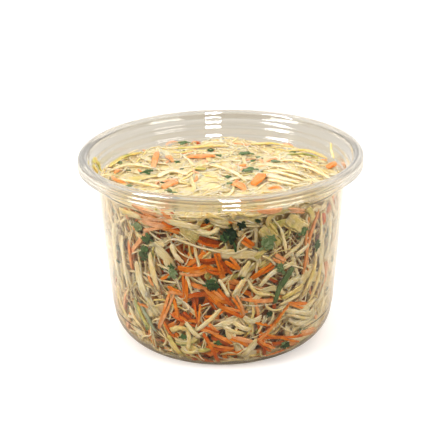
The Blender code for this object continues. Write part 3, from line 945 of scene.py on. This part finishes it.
def make_vegetable(name, tones, fibre, streak, roughness, film, drift, glow):
    """A cut vegetable under a thin film of dressing.

    Tones run over the pieces' shade. A fibre is given by its length and width in millimetres, and streak is
    the darkest that it tints the flesh. Film is the wet gloss, drift is how far the tone wanders over one
    piece, and glow is how much of the light goes into the flesh and out beside.
    """
    made, tree, shader = started(name)
    shade = node(tree, "Attribute", attribute_name="shade").outputs["Fac"]
    grain = node(tree, "Attribute", attribute_name="grain").outputs["Vector"]
    across = (1 / fibre[0], 1 / fibre[1], 1.0)
    fibres = node(tree, "VectorMath", {0: grain, 1: across}, operation="MULTIPLY")
    strand = node(tree, "TexNoise", {"Vector": fibres, "Scale": 1.0, "Detail": 3.0})
    patch = node(tree, "TexNoise", {"Vector": grain, "Scale": 1 / PATCH, "Detail": 2.0})
    limits = {"Value": patch, "From Min": 0.3, "From Max": 0.7, "To Min": -drift, "To Max": drift}
    place = node(tree, "Math", {0: shade, 1: node(tree, "MapRange", limits)}, operation="ADD")
    flesh = node(tree, "ValToRGB", {"Fac": place}, tones)
    tint = node(tree, "ValToRGB", {"Fac": strand}, ((0.32, streak), (0.68, "#ffffff")))
    layers = {"Factor": 1.0, "A": flesh, "B": tint}
    tone = node(tree, "Mix", layers, data_type="RGBA", blend_type="MULTIPLY")
    bump = node(tree, "Bump", {"Height": strand, "Strength": 0.35, "Distance": 0.2 * MM})
    flesh_and_film = {
        "Base Color": tone, "Normal": bump, "Roughness": roughness, "IOR": 1.33, "Specular IOR Level": 0.3,
        "Coat Weight": film, "Coat Roughness": 0.25, "Subsurface Weight": glow,
        "Subsurface Radius": FLESH_REDDENS, "Subsurface Scale": 2.8 * MM,
    }
    feed(tree, shader, flesh_and_film)
    return made


def make_cabbage_look():
    """White cabbage, cut by a machine: crisp cream heart, yellow-green towards the outer leaves.

    Its ribs run along the shreds, and its watery flesh lets light through, so thin shreds glow a little.
    """
    heart = ((0.0, "#f6e6cb"), (0.25, "#f0dab4"), (0.45, "#ebd29e"))
    outer = ((0.65, "#dfca88"), (0.85, "#bebb72"), (1.0, "#8c9659"))
    flesh = dict(fibre=(2.0, 0.31), streak="#e3d3aa", roughness=0.5, film=0.1, drift=0.26, glow=0.7)
    return make_vegetable("raw_shredded_cabbage", heart + outer, **flesh)


def make_carrot_look():
    """Carrot, coarsely grated: orange flesh, milky where dressing sits on it, brown where it is soaked.

    The grater tears it, which leaves coarse fibres along each stick.
    """
    tones = ((0.0, "#f4c4a2"), (0.25, "#eda668"), (0.5, "#ea8a1a"), (0.75, "#cc620c"), (1.0, "#8a3c08"))
    flesh = dict(fibre=(1.7, 0.42), streak="#e8c09a", roughness=0.45, film=0.12, drift=0.17, glow=0.3)
    return make_vegetable("raw_grated_carrot", tones, **flesh)


def make_parsley_look():
    """Parsley, chopped: thin dull leaf, dark green, greyer where dressing covers it."""
    tones = ((0.0, "#a3ad8c"), (0.3, "#7d8f66"), (0.6, "#4c683c"), (1.0, "#0d210f"))
    blade = dict(fibre=(0.8, 0.8), streak="#a8b890", roughness=0.6, film=0.0, drift=0.12, glow=0.0)
    return make_vegetable("fresh_chopped_parsley", tones, **blade)


def make_stem_look():
    """Green stems of parsley and cabbage rib: smooth, pale grey-green to dark green, finely ribbed."""
    tones = ((0.0, "#aab5a2"), (0.5, "#7c8a60"), (0.75, "#5a7048"), (1.0, "#2c4a20"))
    flesh = dict(fibre=(2.0, 0.33), streak="#ccd2c0", roughness=0.45, film=0.1, drift=0.08, glow=0.1)
    return make_vegetable("fresh_green_stem", tones, **flesh)


def make_core_look():
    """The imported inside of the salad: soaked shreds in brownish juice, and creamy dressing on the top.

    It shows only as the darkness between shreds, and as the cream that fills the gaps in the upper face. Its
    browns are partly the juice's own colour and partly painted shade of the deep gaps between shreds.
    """
    made, tree, shader = started("packed_salad_juice_and_painted_shade")
    place = node(tree, "TexCoord").outputs["Object"]
    lump = node(tree, "TexNoise", {"Vector": place, "Scale": 1 / (LUMP * MM), "Detail": 4.0})
    # Painted shade: these browns hold the darkness of the gaps between shreds as well as the juice's colour.
    tones = ((0.3, "#5c3008"), (0.45, "#82491c"), (0.58, "#9c6a3c"), (0.72, "#b98f56"))
    juice_and_painted_shade = node(tree, "ValToRGB", {"Fac": lump}, tones)
    height = node(tree, "SeparateXYZ", {"Vector": place}).outputs["Z"]
    limits = {"Value": height, "From Min": DRESSED_FROM * MM, "From Max": (DRESSED_FROM + 3) * MM}
    upper = node(tree, "MapRange", limits)
    layers = {"Factor": upper, "A": juice_and_painted_shade, "B": linear("#e0cc96")}
    wet = {
        "Base Color": node(tree, "Mix", layers, data_type="RGBA"), "Roughness": 0.5,
        "Subsurface Weight": 0.5, "Subsurface Radius": FLESH_REDDENS, "Subsurface Scale": 3.0 * MM,
    }
    feed(tree, shader, wet)
    return made


# ---- making


def make_cup():
    line = np.concatenate((OUTSIDE, INSIDE[::-1]))
    mesh = turned_mesh("clear_cup", line, TURNED_SIDES)
    return placed("clear_cup", mesh, make_clear_sheet())


def make_core():
    """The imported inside, a turned body whose skin is pushed in and out in lumps."""
    foot, top = 4.0, LEVEL - DRESSING_DEPTH
    points, _ = at_wall(0.0, run_at(np.linspace(foot, LEVEL - 3.0, 60)), CORE_DEPTH)
    line = [(r, foot) for r in (0.0, *np.linspace(4, 30, 8))] + [(-y, max(z, foot)) for _, y, z in points]
    line += [(r, top) for r in (*np.linspace(line[-1][0] + 3.2, 1, 46), 0.0)]
    mesh = turned_mesh("salad_core", line, TURNED_SIDES)
    spots = np.array([v.co for v in mesh.vertices]) / MM
    waves = ((0.9, 0.5, 0.7), (-0.6, 0.8, 1.1), (0.4, -1.2, 0.9), (1.5, 0.9, -0.6), (2.1, -1.7, 0.4))
    lumps = sum(np.sin(spots @ np.array(w) + i) for i, w in enumerate(waves)) / 5
    upper = spots[:, 2] > top - 0.01
    radius = np.maximum(np.hypot(spots[:, 0], spots[:, 1]), 8.0)
    spots[:, :2] *= (1 + np.where(upper, 0.0, 0.9 * lumps / radius))[:, None]
    rise = level(spots[:, 0], spots[:, 1]) - LEVEL + 0.45 * lumps
    spots[:, 2] += np.where(upper, rise, 0.3 * lumps)
    mesh.vertices.foreach_set("co", (spots * MM).ravel())
    return placed("salad_core", mesh, make_core_look())


def make_coleslaw():
    # From the inmost layer to the one at the wall, and the same for the top.
    fill_wall(560, 2.4, 4.2, 0.8)
    fill_wall(620, 0.9, 2.2, 1.6)
    fill_wall(820, -0.1, 0.6, 2.4)
    fill_top(320, -1.0, 0.0)
    fill_top(560, -0.2, 0.8)
    fill_base(90)
    fill_leaves(110)
    lay_seen_pieces()
    shredded = make_cabbage_look()
    looks = {
        white_cabbage: shredded,
        green_cabbage: shredded,
        threads: shredded,
        carrot: make_carrot_look(),
        parsley: make_parsley_look(),
        stem: make_stem_look(),
    }
    return [kind.joined(look) for kind, look in looks.items()] + [make_core()]


def make_floor():
    """A wide pale floor, so lit that it reads as white paper."""
    mesh = bpy.data.meshes.new("floor")
    corners = [(x * 6.0, y * 6.0, -FLOOR_GAP * MM) for x, y in ((-1, -1), (1, -1), (1, 1), (-1, 1))]
    mesh.from_pydata(corners, [], [(0, 1, 2, 3)])
    made, tree, shader = started("matt_white_paper")
    light = node(tree, "LightPath")
    straight = light.outputs["Is Camera Ray"]
    pulp = node(tree, "TexNoise", {"Scale": 300.0})
    paper = node(tree, "ValToRGB", {"Fac": pulp}, ((0.3, "#fbfbfb"), (0.7, "#fdfdfd")))
    # Painted reflection: the paper that the cup's wall mirrors is painted dim in front, where it would veil
    # the salad, bright behind.
    place = node(tree, "TexCoord").outputs["Object"]
    spot = node(tree, "SeparateXYZ", {"Vector": place}).outputs["Y"]
    backwards = node(tree, "MapRange", {"Value": spot, "From Min": -0.15, "From Max": 0.15})
    greys = ((0.0, "#2c2820"), (0.38, "#8a8070"), (0.62, "#f0e8dc"))
    painted_reflection = node(tree, "ValToRGB", {"Fac": backwards}, greys)
    # Painted shade: seen through the cup's sheet, the paper is painted beige grey.
    sides = {"Factor": bent_light(tree, light), "A": painted_reflection, "B": linear("#bfb8ac")}
    through = node(tree, "Mix", sides, data_type="RGBA")
    views = {"Factor": straight, "A": through, "B": paper}
    matt = {
        "Base Color": node(tree, "Mix", views, data_type="RGBA"), "Roughness": 0.9,
        "Specular IOR Level": 0.1, "Emission Color": linear("#ffffff"),
        "Emission Strength": node(tree, "Math", {0: straight, 1: FLOOR_GLOW}, operation="MULTIPLY"),
    }
    feed(tree, shader, matt)
    return placed("floor", mesh, made)


def make_camera():
    data = bpy.data.cameras.new("camera")
    data.sensor_width, data.lens = SENSOR, FOCAL_PIXELS / PICTURE_SIDE * SENSOR
    data.clip_start, data.clip_end = 0.01, 50.0
    look = Vector(_toward).to_track_quat("-Z", "Y") @ Quaternion((0, 0, 1), CAMERA_ROLL)
    bpy.context.scene.camera = aimed("camera", data, EYE * MM, look)


def make_lamp(name, azimuth, elevation, distance, width, height, power, glint=False):
    """A soft lamp that faces the cup. Azimuth is round the cup, from the camera's side to the right.

    A glint lamp shows only in reflections, as a bright window does, and lights nothing.
    """
    data = bpy.data.lights.new(name, "AREA")
    data.shape, data.size, data.size_y, data.energy = "RECTANGLE", width, height, power
    turn, rise = radians(azimuth), radians(elevation)
    way = Vector((sin(turn) * cos(rise), -cos(turn) * cos(rise), sin(rise)))
    made = aimed(name, data, CUP_MIDDLE + way * distance, (-way).to_track_quat("-Z", "Y"))
    made.visible_camera = False
    made.visible_diffuse = made.visible_transmission = not glint
    made.visible_glossy = glint


def make_surroundings():
    """A bright soft studio: white all round and overhead, dimmer behind the camera."""
    world = bpy.data.worlds.new("studio")
    bpy.context.scene.world = world
    world.use_nodes = True
    tree = world.node_tree
    way = node(tree, "TexCoord").outputs["Generated"]
    parts = node(tree, "SeparateXYZ", {"Vector": way}).outputs
    behind_or_above = node(tree, "Math", {0: parts["Y"], 1: parts["Z"]}, operation="ADD")
    aside = node(tree, "Math", {0: parts["X"]}, operation="ABSOLUTE")
    terms = {0: aside, 1: SIDE_LIGHT, 2: behind_or_above}
    bright = node(tree, "Math", terms, operation="MULTIPLY_ADD")
    across = node(tree, "MapRange", {"Value": bright, "From Min": -1.0, "From Max": 1.0})
    greys = ((0.0, "#8a8882"), (0.55, "#bfbdb8"), (0.85, "#ffffff"))
    shade = node(tree, "ValToRGB", {"Fac": across}, greys)
    light = node(tree, "LightPath")
    either = {0: light.outputs["Is Camera Ray"], 1: bent_light(tree, light)}
    plain = node(tree, "Math", either, operation="MAXIMUM")
    views = {"Factor": plain, "A": shade, "B": linear("#ffffff")}
    seen = node(tree, "Mix", views, data_type="RGBA")
    feed(tree, tree.nodes["Background"], {"Color": seen, "Strength": 1.0})
    bpy.context.scene.view_settings.view_transform = "Standard"


make_camera()
make_surroundings()
make_lamp("soft_right", 52, 24, 1.2, 0.6, 0.6, 9.6)
make_lamp("soft_left", -62, 24, 1.2, 0.6, 0.6, 13.2)
make_lamp("overhead", 150, 70, 1.2, 0.9, 0.9, 1.6)
make_lamp("glint_right", 8, 40, 1.2, 0.26, 0.9, 36.0, glint=True)
make_lamp("glint_left", -66, 40, 1.2, 0.26, 0.9, 26.0, glint=True)

cup = make_cup()
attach(cup, "root")
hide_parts("deli_cup")
for piece in make_coleslaw():
    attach(piece, "root")
    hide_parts("coleslaw")
make_floor()
